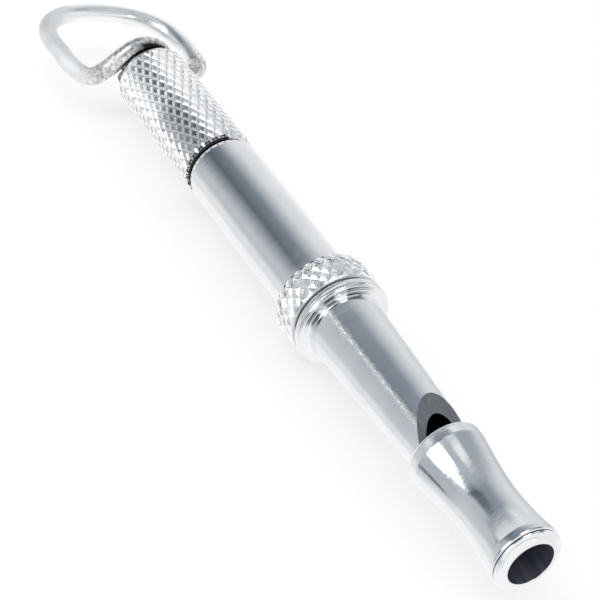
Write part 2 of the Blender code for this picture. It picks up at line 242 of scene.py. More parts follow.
def wearAndPaintedShade(tree, look, colour, gloss):
    along, reach, angle = axisCoords(tree)

    # flecks along the worn strip; its frosted parts get a darker colour, painted shade that dims the
    # highlight along the strip
    aside = mathNode("ABSOLUTE", mathNode("SUBTRACT", angle, math.radians(look["wornAngle"])))
    strip = addRange(aside, *[math.radians(width) for width in look["wornWidth"]], 1.0, 0.0)
    grain = addNoise(tree, look["fleckSize"], 4.0, look["fleckRough"], look["fleckStretch"])
    flecks = addRange(grain, *look["fleckEdge"], *look["fleckGloss"])
    change = times(strip, mathNode("SUBTRACT", flecks, gloss))
    dulled = times(strip, addRange(grain, *look["fleckEdge"], 1.0, 0.0))
    colour = mixColours(dulled, colour, (*look["wornAndShadeColour"], 1.0))

    # painted shade in the flange's corner, standing for dark reflections, in fine rings
    inner, innerFull, outerFull, outer = look["paintedShadeReach"]
    corner = times(addRange(reach, inner, innerFull), addRange(reach, outerFull, outer, 1.0, 0.0))
    inputs = {"W": reach, "Scale": look["paintedShadeRings"], "Detail": 1.0}
    wavy = addNode(tree, "ShaderNodeTexNoise", inputs, noise_dimensions="1D").outputs["Fac"]
    rings = addRange(wavy, *look["paintedShadeEdge"], look["paintedShadeLeast"], 1.0)
    ahead = mathNode("GREATER_THAN", along, mouthX - look["paintedShadeFrom"])
    share = times(corner, rings, ahead, angleRamp(angle, look["paintedShadeAngles"]))
    colour = mixColours(share, colour, (*look["paintedShade"], 1.0))
    return colour, mathNode("ADD", gloss, change)


def makePlate(name, look):
    finish, tree, shader = newFinish(name)
    stain = addNoise(tree, look["stainSize"], 4.0)
    colour = addRamp(stain, stainEdge, (look["stained"], look["clean"]))
    lines = addNoise(tree, 1.0, 2.0, scale=look["latheLines"])
    gloss = addRange(lines, *noiseSpan, *look["gloss"])
    if "paintedShade" in look:
        colour, gloss = wearAndPaintedShade(tree, look, colour, gloss)
    pits = addNoise(tree, look["pitSize"], 2.0, 0.5)
    relief = addBump(lines, look["lineDepth"], look["lineStrength"])
    relief = addBump(pits, look["pitDepth"], look["pitStrength"], Normal=relief)
    feed(shader, {"Base Color": colour, "Metallic": 1.0, "Roughness": gloss, "Normal": relief})
    return finish


plate = makePlate("brightPlate", plateLook)
wornPlate = makePlate("wornPlate", wornLook)
tubePlate = makePlate("tubePlateWithPaintedShade", tubeLook)

# Knurled plate: rougher grooves, whose darker colour is painted shade, and worn crests. The height comes
# from the distance to the axis.
knurlLook = {
    "groove": (0.9, 0.905, 0.91),
    "flank": (0.995, 0.995, 0.995),
    "crest": (0.98, 0.98, 0.985),
    "heights": (0.0, 0.28, 0.9),
    "gloss": (0.34, 0.12),
    "grainSize": 2600.0,
    "grainDepth": 0.00002,
    "grainStrength": 0.2,
}
rimLook = dict(knurlLook, groove=(0.8, 0.81, 0.82), gloss=(0.3, 0.16))
# the cap's knurl gets painted shade on one side of its mouth end
capLook = dict(
    knurlLook,
    sideShade=(0.25, 0.25, 0.26),
    sideShadeAngles={106: 0.0, 130: 0.35, 145: 0.35, 165: 0.5, 180: 0.4},
    sideShadeEnd=(69.6 * mm, 71.4 * mm),
)


def makeKnurlFinish(name, look, floorRadius, crestRadius):
    finish, tree, shader = newFinish(name)
    along, reach, angle = axisCoords(tree)
    height = addRange(reach, floorRadius, crestRadius)
    # the grooves are darker by height: painted shade
    colour = addRamp(height, look["heights"], (look["groove"], look["flank"], look["crest"]))
    # painted shade on one side of the cap's mouth end, fading along the axis
    if "sideShade" in look:
        fullAt, cleanAt = [mouthX - station for station in look["sideShadeEnd"]]
        share = times(angleRamp(angle, look["sideShadeAngles"]), addRange(along, cleanAt, fullAt))
        colour = mixColours(share, colour, (*look["sideShade"], 1.0))
    gloss = addRange(height, 0.0, 1.0, *look["gloss"])
    relief = addBump(addNoise(tree, look["grainSize"], 3.0), look["grainDepth"], look["grainStrength"])
    feed(shader, {"Base Color": colour, "Metallic": 1.0, "Roughness": gloss, "Normal": relief})
    return finish


# Drawn wire: satin plate, with bending marks where it turns over the cap; their beige mottle is also a
# painted reflection of the knurl
wireLook = {
    "clean": (0.965, 0.97, 0.975),
    "stained": (0.9, 0.9, 0.895),
    "marksAndReflection": (0.5, 0.47, 0.42),
    "gloss": (0.2, 0.34),
    "satinSpan": (-0.0058, -0.003),
    "satinGloss": 0.45,
    "stainSize": 420.0,
    "markSize": 2600.0,
    "markRough": 0.6,
    "markEdge": (0.38, 0.6),
    "markDepth": 0.00009,
    "markStrength": 0.5,
    "markSpan": (-0.0368, -0.0352),
    "markSide": (-0.0078, -0.005),
    "paintedShade": (0.02, 0.019, 0.022),
    # painted shadow in X, Y and Z: on the side towards the cap, over the cap's width, above the axis
    "paintedShadeSpans": ((-0.03358, -0.0333), (-0.003, -0.0008), (0.005, 0.0062)),
}


def makeWirePlate(name, look):
    finish, tree, shader = newFinish(name)
    place = splitPlace(tree)
    along, across, up = place
    stain = addNoise(tree, look["stainSize"], 4.0)
    smooth = addRamp(stain, stainEdge, (look["stained"], look["clean"]))
    marks = addNoise(tree, look["markSize"], 3.0, look["markRough"])
    # bending marks near the cap, whose beige mottle is a painted reflection of the knurl
    marksAndReflection = addRamp(marks, look["markEdge"], (look["marksAndReflection"], look["clean"]))
    nearCap = times(addRange(along, *look["markSpan"]), addRange(across, *look["markSide"]))
    colour = mixColours(nearCap, smooth, marksAndReflection)
    # painted shadow on the wire where it faces the cap
    share = times(*[addRange(way, *span) for way, span in zip(place, look["paintedShadeSpans"])])
    colour = mixColours(share, colour, (*look["paintedShade"], 1.0))
    satin = addRange(across, *look["satinSpan"], look["satinGloss"], 0.0)
    gloss = mathNode("ADD", addRange(stain, *noiseSpan, *look["gloss"]), satin)
    relief = addBump(times(marks, nearCap), look["markDepth"], look["markStrength"])
    feed(shader, {"Base Color": colour, "Metallic": 1.0, "Roughness": gloss, "Normal": relief})
    return finish


wirePlate = makeWirePlate("drawnWirePlate", wireLook)


# Grained finishes, each with a light and a dark tone
def makeGrained(name, look):
    finish, tree, shader = newFinish(name)
    grain = addNoise(tree, 1.0, look["detail"], scale=look["grain"])
    colour = addRamp(grain, look["edge"], (look["dark"], look["light"]))
    gloss = addRange(grain, *noiseSpan, *look["gloss"])
    relief = addBump(grain, look["depth"], look["strength"])
    feed(shader, {"Base Color": colour, "Metallic": look["metal"], "Roughness": gloss, "Normal": relief})
    return finish


# Milled flat of the window: straight cutter marks, matt
millLook = {
    "light": (0.31, 0.32, 0.34),
    "dark": (0.245, 0.25, 0.265),
    "edge": (0.35, 0.65),
    "grain": (900.0, 9000.0, 900.0),
    "detail": 2.0,
    "gloss": (0.36, 0.5),
    "metal": 1.0,
    "depth": 0.000006,
    "strength": 0.4,
}
milled = makeGrained("milledFlat", millLook)

# Bores: painted shade, a dark metal finish with drawing streaks
boreLook = dict(
    millLook,
    light=(0.165, 0.14, 0.175),
    dark=(0.06, 0.08, 0.12),
    grain=(160.0, 1600.0, 1600.0),
    gloss=(0.3, 0.46),
    metal=0.2,
)
boreDark = makeGrained("darkBore", boreLook)
# a darker painted shade for the tube's bore
deepLook = dict(boreLook, light=(0.05, 0.05, 0.07), dark=(0.02, 0.026, 0.042), metal=0.6)
deepBore = makeGrained("deepBore", deepLook)

# Painted shade on shadowed end faces and gaps: a near-black steel finish
steelLook = dict(
    millLook,
    light=(0.06, 0.056, 0.058),
    dark=(0.026, 0.025, 0.03),
    grain=(2500.0, 2500.0, 2500.0),
    gloss=(0.34, 0.52),
)
shadeSteel = makeGrained("paintedShadeSteel", steelLook)

# Washer: dull plate
dullLook = dict(steelLook, light=(0.93, 0.93, 0.94), dark=(0.82, 0.82, 0.84), gloss=(0.14, 0.24))
dullPlate = makeGrained("dullPlate", dullLook)

# Brass inside: lathe rings and a dull film
brassLook = dict(
    millLook,
    light=(0.74, 0.57, 0.29),
    dark=(0.52, 0.38, 0.18),
    grain=(5200.0, 90.0, 90.0),
    gloss=(0.24, 0.4),
)
brass = makeGrained("turnedBrass", brassLook)

# Seal: black rubber with a fine grain
rubberLook = {
    "light": (0.03, 0.03, 0.032),
    "dark": (0.014, 0.014, 0.015),
    "edge": noiseSpan,
    "grain": (5000.0, 5000.0, 5000.0),
    "detail": 4.0,
    "gloss": (0.55, 0.75),
    "metal": 0.0,
    "depth": 0.00001,
    "strength": 0.3,
}
sealRubber = makeGrained("sealRubber", rubberLook)
print("finishes made")

# Helpers for turned pieces
softSteps = 5
mostOfSide = 0.49
poleRadius = 1e-7


def softCorners(corners):
    # a corner is (station, radius), with a trim if it is cut back on both sides and bridged by a curve
    points = []
    for i, (station, radius, *trim) in enumerate(corners):
        here = Vector((station, radius))
        if not trim:
            points.append(here)
            continue
        before = Vector(corners[i - 1][:2]) - here
        after = Vector(corners[(i + 1) % len(corners)][:2]) - here
        start = here + before.normalized() * min(*trim, before.length * mostOfSide)
        end = here + after.normalized() * min(*trim, after.length * mostOfSide)
        for k in range(softSteps + 1):
            t = k / softSteps
            points.append(start * (1 - t) ** 2 + here * 2 * t * (1 - t) + end * t * t)
    return points


def flareRun(near, far, power, count):
    shares = [k / count for k in range(1, count + 1)]
    long, rise = far[0] - near[0], far[1] - near[1]
    return [(near[0] + long * share, near[1] + rise * share**power) for share in shares]


def fan(first, last, count):
    return [math.radians(first + (last - first) * k / count) for k in range(count + 1)]


def arcRun(station, radius, size, first, last, count):
    angles = fan(first, last, count)
    return [(station + size * math.sin(angle), radius + size * math.cos(angle)) for angle in angles]


def writeMesh(work, mesh):
    bmesh.ops.recalc_face_normals(work, faces=work.faces)
    work.to_mesh(mesh)
    work.free()
    return mesh


def turnMesh(name, corners, steps):
    # the corners close into a loop, and a point on the axis becomes one pole
    work = bmesh.new()
    rings = []
    for station, radius in softCorners(corners):
        count = 1 if radius < poleRadius else steps
        rings.append([work.verts.new(placed(station, radius, math.tau * k / steps)) for k in range(count)])
    for first, second in zip(rings, rings[1:] + rings[:1]):
        for k in range(steps):
            places = ((first, k), (first, k + 1), (second, k + 1), (second, k))
            face = list(dict.fromkeys(ring[j % len(ring)] for ring, j in places))
            if len(face) > 2:
                work.faces.new(face)
    return writeMesh(work, bpy.data.meshes.new(name))


def newPiece(name, mesh, finishes):
    piece = linkedObject(name, mesh)
    mesh.materials.clear()
    for finish in finishes:
        mesh.materials.append(finish)
    return piece


def smoothPiece(piece, crease):
    piece.data.shade_smooth()
    piece.data.set_sharp_from_angle(angle=math.radians(crease))


def turnedPiece(name, corners, sizes, finishes):
    piece = newPiece(name, turnMesh(name, corners, sizes["steps"]), finishes)
    smoothPiece(piece, sizes["crease"])
    return piece


def paintFaces(piece, index, test):
    for face in piece.data.polygons:
        reach = math.hypot(face.center.y - axisY, face.center.z - axisZ)
        if test(mouthX - face.center.x, reach, face):
            face.material_index = index


def evaluatedMesh(thing):
    depsgraph = bpy.context.evaluated_depsgraph_get()
    return bpy.data.meshes.new_from_object(thing.evaluated_get(depsgraph))


def dress(piece, body, slot, *nodes):
    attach(piece, body)
    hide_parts(*nodes)


# Mouthpiece: rolled lip, fine groove, bead, waist, trumpet and rounded collar
mouth = inMm(
    bore=2.46,
    boreEdge=0.1,
    darkFrom=0.12,
    lipCentre=2.572,
    lipWidth=0.66,
    lipRound=1.1,
    grooveWidth=0.18,
    grooveDepth=0.2,
    grooveEdge=0.03,
    beadMiddle=1.06,
    beadCentre=3.38,
    beadSize=0.28,
    beadEnd=1.65,
    waist=3.19,
    waistAt=7.2,
    collar=3.95,
    collarRound=0.36,
    collarBand=0.95,
    collarRise=0.02,
    socket=3.05,
    socketAt=11.4,
)
mouth.update(beadStart=-60.0, beadFall=3.0, nearFlare=2.0, farFlare=1.5, steps=180, crease=40)


def buildMouthpiece():
    near, far = nodeSizes("mouthpiece")[:2]
    lipWidth = mouth["lipWidth"]
    lipRound = mouth["lipRound"]
    grooveEnd = lipWidth + mouth["grooveWidth"]
    lipTilt = math.degrees(math.asin((lipRound - lipWidth) / lipRound))
    corners = [(near, mouth["bore"], mouth["boreEdge"])]
    corners += arcRun(near + lipRound, mouth["lipCentre"], lipRound, -90, -lipTilt, 16)
    lipEdge = corners[-1][1]
    grooveFloor = lipEdge - mouth["grooveDepth"]
    corners += [(at, grooveFloor, mouth["grooveEdge"]) for at in (lipWidth, grooveEnd)]
    bead = (mouth["beadMiddle"], mouth["beadCentre"], mouth["beadSize"])
    corners += arcRun(*bead, mouth["beadStart"], mouth["beadFall"], 12)
    beadAt, beadRadius = corners[-1]
    beadRadius -= (mouth["beadEnd"] - beadAt) * math.tan(math.radians(mouth["beadFall"]))
    waist = (mouth["waistAt"], mouth["waist"])
    corners += reversed(flareRun(waist, (mouth["beadEnd"], beadRadius), mouth["nearFlare"], 24))
    corners.append(waist)
    collarAt = far - mouth["collarRound"]
    bandAt = (collarAt - mouth["collarBand"], mouth["collar"] - mouth["collarRise"])
    corners += flareRun(waist, bandAt, mouth["farFlare"], 36)
    corners += flareRun(bandAt, (collarAt, mouth["collar"]), 1.0, 8)
    corners += arcRun(collarAt, mouth["collar"] - mouth["collarRound"], mouth["collarRound"], 0, 90, 10)[1:]
    corners += [
        (far, mouth["socket"]),
        (mouth["socketAt"], mouth["socket"]),
        (mouth["socketAt"], mouth["bore"]),
    ]
    piece = turnedPiece("trumpetMouthpiece", corners, mouth, [wornPlate, boreDark])
    # painted shade: the bore past the lip's edge takes the dark bore finish
    inner = mouth["socket"] + 2 * hair
    paintFaces(piece, 1, lambda at, reach, face: reach < inner and at > mouth["darkFrom"])
    # painted shade: the lip's groove takes the dark bore finish too
    grooveSpan = (lipWidth - hair, grooveEnd + 2 * hair)
    grooveTop = lipEdge - 3 * hair
    paintFaces(piece, 1, lambda at, reach, face: grooveSpan[0] < at < grooveSpan[1] and reach < grooveTop)
    dress(piece, "whistle", "plated_metal", "mouthpiece")


buildMouthpiece()
print("mouthpiece turned")

# Sounding tube: spigot, cone, fillet, flange, and the slanted window
tube = inMm(
    spigot=2.95,
    bore=2.32,
    stemBore=2.6,
    stemBoreAt=27.2,
    shoulderAt=15.62,
    shoulderLand=0.12,
    edge=0.05,
    coneStart=15.5,
    coneNear=3.13,
    coneFar=3.96,
    fillet=0.45,
    flange=5.13,
    flangeThick=1.0,
    flangeRound=0.45,
    flangeBackRound=0.16,
    windowDepth=2.45,
    windowWall=0.2,
)
tube.update(windowSlope=28.8, flatMatch=0.999, steps=180, crease=24)


def windowCutter():
    # a wedge: its underside is the slanted flat, its near end the upright wall at the collar
    wallAt = tube["shoulderAt"] + tube["windowWall"]
    floorNear = tube["coneNear"] - tube["windowDepth"]
    rise = math.tan(math.radians(tube["windowSlope"]))
    beyond = 2 * tube["coneFar"]  # clear of the tube on every side
    endAt = tube["coneStart"] + (beyond - floorNear) / rise
    side = [
        (wallAt, floorNear + (wallAt - tube["coneStart"]) * rise),
        (endAt, beyond),
        (wallAt, beyond),
    ]
    work = bmesh.new()
    left = [work.verts.new((mouthX - at, axisY - beyond, axisZ + height)) for at, height in side]
    right = [work.verts.new((mouthX - at, axisY + beyond, axisZ + height)) for at, height in side]
    work.faces.new(left)
    work.faces.new(right)
    for k in range(3):
        work.faces.new((left[k], left[(k + 1) % 3], right[(k + 1) % 3], right[k]))
    return linkedObject("windowCutter", writeMesh(work, bpy.data.meshes.new("windowCutter")))


def buildTube():
    near, far = nodeSizes("body_tube")[:2]
    flangeAt = far - tube["flangeThick"]
    filletAt = flangeAt - tube["fillet"]
    swell = (tube["coneFar"] - tube["coneNear"]) / (flangeAt - tube["coneStart"])
    shoulder = tube["coneNear"] + swell * (tube["shoulderAt"] - tube["coneStart"])
    filletFoot = tube["coneNear"] + swell * (filletAt - tube["coneStart"])
    coneAt = tube["shoulderAt"] + tube["shoulderLand"]
    corners = [
        (near, tube["bore"]),
        (near, tube["spigot"], tube["edge"]),
        (tube["shoulderAt"], tube["spigot"]),
        (tube["shoulderAt"], shoulder, tube["edge"]),
        (coneAt, shoulder),
    ]
    corners += flareRun((coneAt, shoulder), (filletAt, filletFoot), 1.0, 30)[:-1]
    corners += arcRun(filletAt, filletFoot + tube["fillet"], tube["fillet"], 180, 90, 14)
    corners += [
        (flangeAt, tube["flange"], tube["flangeRound"]),
        (far, tube["flange"], tube["flangeBackRound"]),
        (far, tube["stemBore"]),
        (tube["stemBoreAt"], tube["stemBore"]),
        (tube["stemBoreAt"], tube["bore"]),
    ]
    blank = turnMesh("soundingTube", corners, tube["steps"])
    piece = newPiece("soundingTube", blank, [tubePlate, milled, deepBore])
    cutter = windowCutter()
    cut = piece.modifiers.new("Window", "BOOLEAN")
    cut.operation = "DIFFERENCE"
    cut.solver = "EXACT"
    cut.object = cutter
    piece.data = evaluatedMesh(piece)
    piece.modifiers.clear()
    bpy.data.meshes.remove(blank)
    bpy.data.objects.remove(cutter, do_unlink=True)
    piece.data.name = piece.name
    smoothPiece(piece, tube["crease"])
    slope = math.radians(tube["windowSlope"])
    flatWay = Vector((math.sin(slope), 0.0, math.cos(slope)))
    boreSide = tube["stemBore"] + 2 * hair
    windowAt = tube["shoulderAt"] + tube["windowWall"] / 2

    def onFlat(at, reach, face):
        return windowAt < at < filletAt and face.normal.dot(flatWay) > tube["flatMatch"]

    # painted shade: the bore takes the darker bore finish
    paintFaces(piece, 2, lambda at, reach, face: reach < boreSide and near < at < far - hair)
    paintFaces(piece, 1, onFlat)
    dress(piece, "whistle", "plated_metal", "body_tube")


buildTube()
print("tube turned and its window cut")


# Helpers for Geometry Nodes trees
def startTree(name, sockets):
    # returns the tree, the identifier of each named input, and the outputs that hold their values
    tree = bpy.data.node_groups.new(name, "GeometryNodeTree")
    names = {}
    for label, kind in {"Geometry": "Geometry", **sockets}.items():
        socket = tree.interface.new_socket(label, in_out="INPUT", socket_type="NodeSocket" + kind)
        names[label] = socket.identifier
    tree.interface.new_socket("Geometry", in_out="OUTPUT", socket_type="NodeSocketGeometry")
    return tree, names, addNode(tree, "NodeGroupInput").outputs


def endTree(geometry, finish):
    tree = geometry.id_data
    realize = addNode(tree, "GeometryNodeRealizeInstances", {"Geometry": geometry})
    inputs = {"Geometry": realize.outputs["Geometry"], "Material": finish}
    paint = addNode(tree, "GeometryNodeSetMaterial", inputs)
    addNode(tree, "NodeGroupOutput", {"Geometry": paint.outputs["Geometry"]})


def runTree(path, tree, names, sizes):
    # the mesh that the tree makes of a curve. The curve's object goes, and its modifier with it.
    thing = linkedObject(path.name, path)
    pattern = thing.modifiers.new(tree.name, "NODES")
    pattern.node_group = tree
    for label, identifier in names.items():
        if label in sizes:
            pattern[identifier] = sizes[label]
    mesh = evaluatedMesh(thing)
    bpy.data.objects.remove(thing, do_unlink=True)
    return mesh


def keepValue(points, name, value, kind="FLOAT_VECTOR"):
    inputs = {"Geometry": points, "Name": name, "Value": value}
    node = addNode(points.id_data, "GeometryNodeStoreNamedAttribute", inputs, data_type=kind)
    return node.outputs["Geometry"]


def readValue(tree, name, kind="FLOAT_VECTOR"):
    node = addNode(tree, "GeometryNodeInputNamedAttribute", {"Name": name}, data_type=kind)
    return node.outputs["Attribute"]


def vectorMath(operation, *values):
    node = addNode(values[0].id_data, "ShaderNodeVectorMath", dict(enumerate(values)), operation=operation)
    return node.outputs["Value" if operation == "LENGTH" else "Vector"]


def spinX(vector, angle, **centre):
    inputs = {"Vector": vector, "Angle": angle, **centre}
    node = addNode(vector.id_data, "ShaderNodeVectorRotate", inputs, rotation_type="X_AXIS")
    return node.outputs["Vector"]


# Knurl: four-sided studs on a row curve, doubled round the axis, every other row half a step on
def buildKnurlTree():
    sockets = {"rows": "Int", "teeth": "Int", "depth": "Float", "rowStep": "Float", "overlap": "Float"}
    sockets.update({"crestShare": "Float", "finish": "Material"})
    tree, names, given = startTree("diamondKnurl", sockets)
    position = addNode(tree, "GeometryNodeInputPosition").outputs["Position"]
    axis = (0.0, axisY, axisZ)

    # rows along the profile, each with its number and direction
    inputs = {"Curve": given["Geometry"], "Count": given["rows"]}
    rows = addNode(tree, "GeometryNodeCurveToPoints", inputs, mode="COUNT")
    index = addNode(tree, "GeometryNodeInputIndex").outputs["Index"]
    points = keepValue(rows.outputs["Points"], "row", index, "INT")
    points = keepValue(points, "way", rows.outputs["Tangent"])

    # copies round the axis
    inputs = {"Geometry": points, "Amount": given["teeth"]}
    copies = addNode(tree, "GeometryNodeDuplicateElements", inputs, domain="POINT")
    points = keepValue(copies.outputs["Geometry"], "tooth", copies.outputs["Duplicate Index"], "INT")
    halfStep = times(mathNode("MODULO", readValue(tree, "row", "INT"), 2.0), 0.5)
    step = mathNode("ADD", readValue(tree, "tooth", "INT"), halfStep)
    angle = times(mathNode("DIVIDE", step, given["teeth"]), math.tau)
    spunWay = spinX(readValue(tree, "way"), angle)
    points = keepValue(points, "spunWay", spunWay)
    inputs = {"Geometry": points, "Position": spinX(position, angle, Center=axis)}
    spread = addNode(tree, "GeometryNodeSetPosition", inputs)

    # a stud looks away from the axis and lies along its row's direction
    way = readValue(tree, "spunWay")
    radial = vectorMath("MULTIPLY", vectorMath("SUBTRACT", position, axis), (0.0, 1.0, 1.0))
    around = vectorMath("CROSS_PRODUCT", radial, (-1.0, 0.0, 0.0))
    inputs = {"Primary Axis": vectorMath("CROSS_PRODUCT", way, around), "Secondary Axis": way}
    facing = addNode(tree, "FunctionNodeAxesToRotation", inputs, primary_axis="Z", secondary_axis="X")
    halfRound = times(vectorMath("LENGTH", radial), math.pi)
    halfPitch = mathNode("DIVIDE", halfRound, given["teeth"])
    inputs = {
        "X": times(given["rowStep"], given["overlap"]),
        "Y": times(halfPitch, given["overlap"]),
        "Z": given["depth"],
    }
    size = addNode(tree, "ShaderNodeCombineXYZ", inputs)
    inputs = {"Vertices": 4, "Radius Top": given["crestShare"], "Radius Bottom": 1.0, "Depth": 1.0}
    stud = addNode(tree, "GeometryNodeMeshCone", inputs)
    inputs = {
        "Points": spread.outputs["Geometry"],
        "Instance": stud.outputs["Mesh"],
        "Rotation": facing.outputs["Rotation"],
        "Scale": size.outputs["Vector"],
    }
    studs = addNode(tree, "GeometryNodeInstanceOnPoints", inputs)
    endTree(studs.outputs["Instances"], given["finish"])
    return tree, names


knurlTree, knurlSockets = buildKnurlTree()


def knurlStuds(name, rowPath, rows, sizes, finish):
    # rowPath lists (station, radius) of the groove floor, from the first row to the last
    path = bpy.data.curves.new(name, "CURVE")
    path.dimensions = "3D"
    line = path.splines.new("POLY")
    line.points.add(len(rowPath) - 1)
    for point, (station, radius) in zip(line.points, rowPath):
        point.co = (*placed(station, radius), 1.0)
    return runTree(path, knurlTree, knurlSockets, dict(sizes, rows=rows, finish=finish))


def trimStuds(mesh, nearAt, farAt, ceiling):
    # cuts the studs square at both ends, and presses them under the ceiling radius of each station
    work = bmesh.new()
    work.from_mesh(mesh)
    for station, way in ((nearAt, 1.0), (farAt, -1.0)):
        everything = work.verts[:] + work.edges[:] + work.faces[:]
        plane = {"plane_co": placed(station), "plane_no": (way, 0.0, 0.0)}
        cut = bmesh.ops.bisect_plane(work, geom=everything, clear_outer=True, **plane)
        rim = [edge for edge in cut["geom_cut"] if isinstance(edge, bmesh.types.BMEdge)]
        bmesh.ops.edgeloop_fill(work, edges=rim)
    for vert in work.verts:
        reach = math.hypot(vert.co.y - axisY, vert.co.z - axisZ)
        limit = ceiling(mouthX - vert.co.x)
        if reach > limit:
            vert.co.y = axisY + (vert.co.y - axisY) * limit / reach
            vert.co.z = axisZ + (vert.co.z - axisZ) * limit / reach
    writeMesh(work, mesh)


def studdedPiece(name, core, studs, sizes, finishes):
    work = bmesh.new()
    mesh = bpy.data.meshes.new(name)
    for part in (core, studs):
        work.from_mesh(part)
    work.to_mesh(mesh)
    work.free()
    for part in (core, studs):
        bpy.data.meshes.remove(part)
    piece = newPiece(name, mesh, finishes)
    smoothPiece(piece, sizes["crease"])
    return piece


# Lock washer
washer = inMm(bore=2.6, edge=0.06)
washer.update(steps=144, crease=40)


def buildWasher():
    near, far, outer = nodeSizes("lock_washer")
    section = ((near, washer["bore"]), (near, outer), (far, outer), (far, washer["bore"]))
    corners = [(at, radius, washer["edge"]) for at, radius in section]
    piece = turnedPiece("lockWasherRing", corners, washer, [dullPlate])
    dress(piece, "washer", "plated_metal", "lock_washer")


# Lock nut: diamond knurl that runs up over a rounded shoulder
nut = inMm(
    bore=2.6,
    counterbore=4.1,
    counterboreDepth=2.35,
    counterboreLip=0.06,
    chamfer=0.2,
    bevel=0.1,
    edge=0.04,
    shoulder=1.05,
    rowStep=0.8,
    depth=0.19,
)
nut.update(shoulderTurn=78, knurlTurn=75, firstRow=0.2, teeth=25, overlap=1.06)
nut.update(crestShare=0.34, steps=144, crease=14)


def buildNut():
    near, far, outer = nodeSizes("lock_nut")
    floor = outer - nut["depth"]
    bend = nut["shoulder"]
    shoulderAt = far - bend
    shoulder = (shoulderAt, outer - bend, bend - nut["depth"])
    counterFloorAt = far - nut["counterboreDepth"]
    corners = [
        (near, nut["bore"]),
        (near, floor - nut["bevel"], nut["edge"]),
        (near + nut["bevel"], floor, nut["edge"]),
        *arcRun(*shoulder, 0, nut["shoulderTurn"], 10),
        (far, nut["counterbore"] + nut["counterboreLip"], nut["edge"] / 2),
        (far, nut["counterbore"]),
        (counterFloorAt, nut["counterbore"]),
        (counterFloorAt, nut["bore"]),
    ]
    finish = makeKnurlFinish("nutKnurl", knurlLook, floor, outer)
    core = turnMesh("knurledNut", corners, nut["steps"])
    rowPath = [(near + nut["rowStep"] * nut["firstRow"], floor)]
    rowPath += arcRun(*shoulder, 0, nut["knurlTurn"], 12)
    length = sum((Vector(b) - Vector(a)).length for a, b in zip(rowPath, rowPath[1:]))
    gaps = round(length / nut["rowStep"])
    studs = knurlStuds("nutKnurl", rowPath, gaps + 1, dict(nut, rowStep=length / gaps), finish)

    def ceiling(station):
        if station < near + nut["chamfer"]:
            return outer - nut["chamfer"] + max(station - near, 0.0)
        if station < shoulderAt:
            return outer
        return outer - bend + math.sqrt(max(bend**2 - (station - shoulderAt) ** 2, 0.0))

    trimStuds(studs, near, far, ceiling)
    piece = studdedPiece("knurledNut", core, studs, nut, [finish])
    dress(piece, "nut", "knurled_plate", "lock_nut")


buildWasher()
buildNut()
print("washer and nut made")

# Adjusting barrel: smooth polished sleeve with small bright edges, and a knurled rim at its far end
barrel = inMm(
    stemBore=2.6,
    boreFloorAt=46.21,
    chamfer=0.15,
    edge=0.04,
    edgeLand=0.1,
    farAt=61.69,
    collar=3.45,
    collarAt=61.97,
    spigot=2.6,
    rim=0.42,
    rowStep=0.6,
    depth=0.2,
)
barrel.update(teeth=30, overlap=1.05, crestShare=0.3, steps=180, crease=25)


def buildBarrel():
    near, far, outer = nodeSizes("adjusting_barrel")
    edge, chamfer, land = barrel["edge"], barrel["chamfer"], barrel["edgeLand"]
    farAt, collarAt, boreFloorAt = barrel["farAt"], barrel["collarAt"], barrel["boreFloorAt"]
    floor = outer - barrel["depth"]
    rimAt = farAt - barrel["rim"]
    corners = [
        (boreFloorAt, 0.0),
        (boreFloorAt, barrel["stemBore"]),
        (near, barrel["stemBore"]),
        (near, outer - chamfer, edge),
        (near + chamfer, outer, edge),
        *flareRun((near + chamfer + land, outer), (rimAt - land, outer), 1.0, 16),
        (rimAt, outer, edge),
        (rimAt + edge, floor),
        (farAt, floor, edge),
        (farAt, barrel["collar"]),
        (collarAt, barrel["collar"]),
        (collarAt, barrel["spigot"]),
        (far, barrel["spigot"]),
        (far, 0.0),
    ]
    core = turnMesh("tuningBarrel", corners, barrel["steps"])
    finish = makeKnurlFinish("rimKnurl", rimLook, floor, outer)
    rowPath = [(rimAt - barrel["rowStep"] / 2, floor), (farAt, floor)]
    studs = knurlStuds("rimKnurl", rowPath, 2, barrel, finish)
    trimStuds(studs, rimAt, farAt, lambda at: outer - max(chamfer - (farAt - at), 0.0))
    piece = studdedPiece("tuningBarrel", core, studs, barrel, [plate, finish, shadeSteel])
    rimFloor = floor - 3 * hair
    paintFaces(piece, 1, lambda at, reach, face: at > rimAt + 2 * hair and reach > rimFloor)
    # painted shade on the faces past the rim, in the gap before the cap
    paintFaces(piece, 2, lambda at, reach, face: at > farAt - hair and reach < rimFloor)
    dress(piece, "tuner", "plated_metal", "adjusting_barrel")


buildBarrel()
print("barrel turned")

# End cap: diamond knurl from edge to edge, with a narrow chamfer at both ends
cap = inMm(
    socket=2.7,
    socketFloorAt=66.31,
    studHole=1.15,
    studFloorAt=73.47,
    chamfer=0.3,
    bevel=0.12,
    nearEdge=0.03,
    farEdge=0.04,
    rowStep=0.97,
    depth=0.18,
    shadowed=0.24,
)
cap.update(teeth=26, overlap=1.06, crestShare=0.44, endMatch=0.9, litSide=0.1, steps=144, crease=14)


